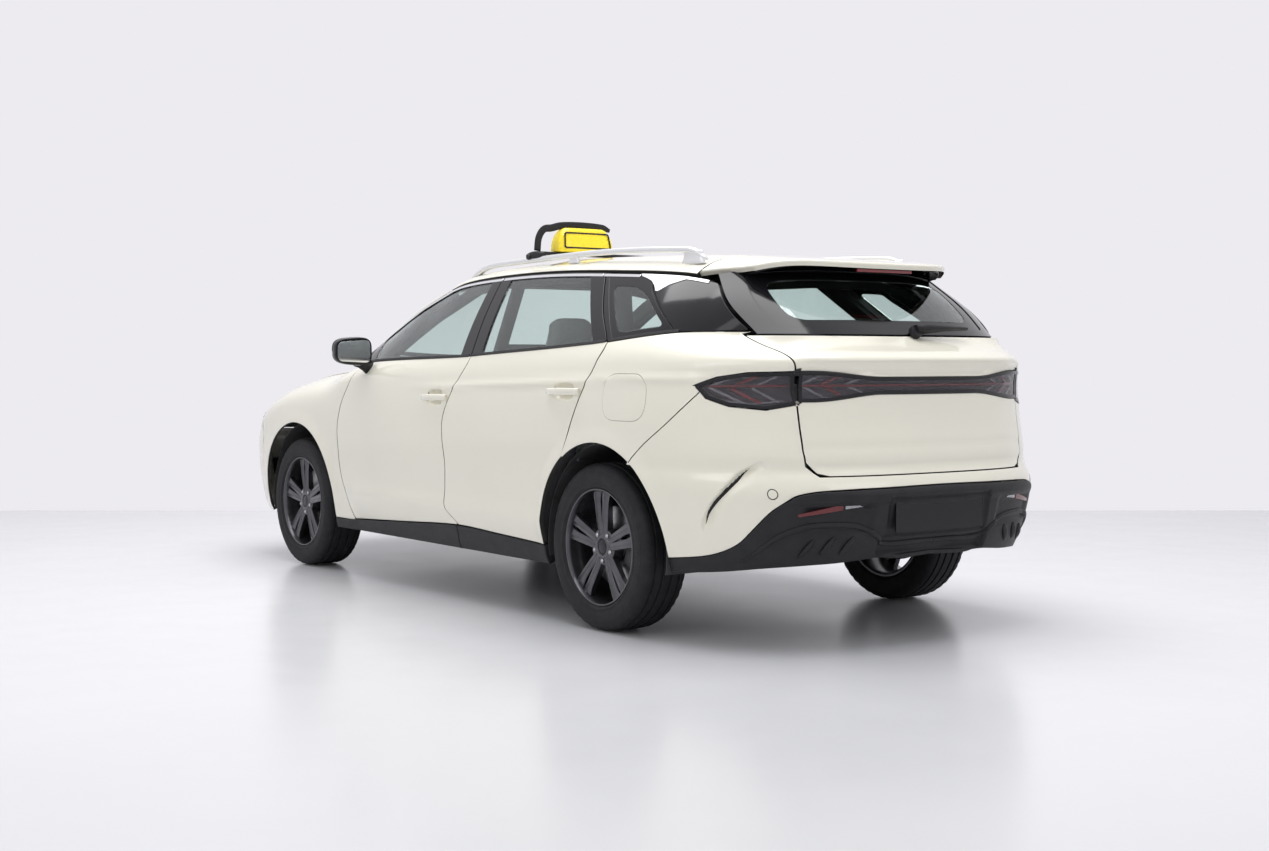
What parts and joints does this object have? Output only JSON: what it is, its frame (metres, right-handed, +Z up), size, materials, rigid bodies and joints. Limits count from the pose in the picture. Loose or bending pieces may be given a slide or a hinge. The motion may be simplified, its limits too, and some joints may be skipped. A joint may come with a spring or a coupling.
{
  "type": "taxi cab",
  "caption": "Ivory estate taxi with a yellow roof sign, dark wheels, black lower trim, hinged doors, bonnet and tailgate, and a furnished cabin.",
  "frame": {"origin": "on the ground under the middle of the car's length and width", "axes": "+X towards the nose, +Y to the car's left, +Z up"},
  "size_m": [4.7798, 2.2, 1.745],
  "materials": {
    "ivory_paint": "light ivory gloss paint",
    "black_plastic": "fine-grained matt",
    "gloss_black": "polished",
    "rail_metal": "satin anodised",
    "clear_glass": "clear with a light green tint",
    "lamp_clear": "clear cover",
    "lamp_red": "smoked red cover",
    "underbody_steel": "painted and bare steel",
    "battery_case": "ribbed case",
    "dash_plastic": "soft grained",
    "seat_cloth": "light grey cloth",
    "sign_yellow": "translucent yellow",
    "tyre_rubber": "satin sidewall",
    "rim_alloy": "dark grey satin paint"
  },
  "bodies": {
    "body": {"floor_pan": "underbody_steel", "sills": "black_plastic", "body_frame": "ivory_paint", "front_fenders": "ivory_paint", "quarter_panels": "ivory_paint", "roof_panel": "ivory_paint", "roof_rails": "rail_metal", "fixed_glass": "clear_glass", "pillar_trim": "gloss_black", "front_bumper": "ivory_paint", "rear_bumper": "ivory_paint", "rear_diffuser": "black_plastic", "headlamps": "lamp_clear", "tail_lamps": "lamp_red", "wheel_liners": "black_plastic", "drive_unit": "underbody_steel", "battery_pack": "battery_case", "front_subframe": "underbody_steel", "rear_axle": "underbody_steel", "dashboard": "dash_plastic", "seats": "seat_cloth", "number_plate": "gloss_black", "sign_bar": "black_plastic", "taxi_sign": "sign_yellow", "cowl": "black_plastic"},
    "bonnet": {"bonnet": "ivory_paint"},
    "door_front_left": {"door_front_left": "ivory_paint", "door_glass_front_left": "clear_glass", "mirror_left": "black_plastic"},
    "door_front_right": {"door_front_right": "ivory_paint", "door_glass_front_right": "clear_glass", "mirror_right": "black_plastic"},
    "door_rear_left": {"door_rear_left": "ivory_paint", "door_glass_rear_left": "clear_glass"},
    "door_rear_right": {"door_rear_right": "ivory_paint", "door_glass_rear_right": "clear_glass"},
    "tailgate": {"tailgate": "ivory_paint", "tailgate_glass": "clear_glass", "light_bar": "lamp_red", "rear_wiper": "black_plastic"},
    "fuel_flap": {"fuel_flap": "ivory_paint"},
    "steering_wheel": {"steering_wheel": "black_plastic"},
    "knuckle_left": {"knuckle_left": "underbody_steel"},
    "knuckle_right": {"knuckle_right": "underbody_steel"},
    "wheel_front_left": {"tyre_front_left": "tyre_rubber", "rim_front_left": "rim_alloy"},
    "wheel_front_right": {"tyre_front_right": "tyre_rubber", "rim_front_right": "rim_alloy"},
    "wheel_rear_left": {"tyre_rear_left": "tyre_rubber", "rim_rear_left": "rim_alloy"},
    "wheel_rear_right": {"tyre_rear_right": "tyre_rubber", "rim_rear_right": "rim_alloy"}
  },
  "joints": [
    {"name": "door_front_left_hinge", "type": "hinge", "parent": "body", "child": "door_front_left", "pos_m": [0.945, 0.925, 0.65], "axis": [0, 0, -1], "range_deg": [0, 68]},
    {"name": "door_front_right_hinge", "type": "hinge", "parent": "body", "child": "door_front_right", "pos_m": [0.945, -0.925, 0.65], "axis": [0, 0, 1], "range_deg": [0, 68]},
    {"name": "door_rear_left_hinge", "type": "hinge", "parent": "body", "child": "door_rear_left", "pos_m": [-0.1345, 0.925, 0.68], "axis": [0, 0, -1], "range_deg": [0, 70]},
    {"name": "door_rear_right_hinge", "type": "hinge", "parent": "body", "child": "door_rear_right", "pos_m": [-0.1345, -0.925, 0.68], "axis": [0, 0, 1], "range_deg": [0, 70]},
    {"name": "tailgate_hinge", "type": "hinge", "parent": "body", "child": "tailgate", "pos_m": [-1.64, 0, 1.531], "axis": [0, 1, 0], "range_deg": [0, 78]},
    {"name": "bonnet_hinge", "type": "hinge", "parent": "body", "child": "bonnet", "pos_m": [1.006, 0, 1.092], "axis": [0, -1, 0], "range_deg": [0, 50]},
    {"name": "fuel_flap_hinge", "type": "hinge", "parent": "body", "child": "fuel_flap", "pos_m": [-1.4195, 0.932, 0.95], "axis": [0, 0, -1], "range_deg": [0, 100]},
    {"name": "steer_left", "type": "hinge", "parent": "body", "child": "knuckle_left", "pos_m": [1.44, 0.725, 0.341], "axis": [0, 0, 1], "range_deg": [-32, 32]},
    {"name": "steer_right", "type": "hinge", "parent": "body", "child": "knuckle_right", "pos_m": [1.44, -0.725, 0.341], "axis": [0, 0, 1], "range_deg": [-32, 32]},
    {"name": "steering_wheel_turn", "type": "hinge", "parent": "body", "child": "steering_wheel", "pos_m": [0.47, 0.37, 0.96], "axis": [-0.9135, 0, 0.4067], "range_deg": [-480, 480]},
    {"name": "wheel_front_left_spin", "type": "hinge", "parent": "knuckle_left", "child": "wheel_front_left", "pos_m": [1.44, 0.795, 0.341], "axis": [0, 1, 0], "continuous": true},
    {"name": "wheel_front_right_spin", "type": "hinge", "parent": "knuckle_right", "child": "wheel_front_right", "pos_m": [1.44, -0.795, 0.341], "axis": [0, 1, 0], "continuous": true},
    {"name": "wheel_rear_left_spin", "type": "hinge", "parent": "body", "child": "wheel_rear_left", "pos_m": [-1.35, 0.795, 0.341], "axis": [0, 1, 0], "continuous": true},
    {"name": "wheel_rear_right_spin", "type": "hinge", "parent": "body", "child": "wheel_rear_right", "pos_m": [-1.35, -0.795, 0.341], "axis": [0, 1, 0], "continuous": true}
  ],
  "couplings": [
    {"joint": "steer_right", "follows": "steer_left", "ratio": 1},
    {"joint": "steering_wheel_turn", "follows": "steer_left", "ratio": 13.9}
  ]
}
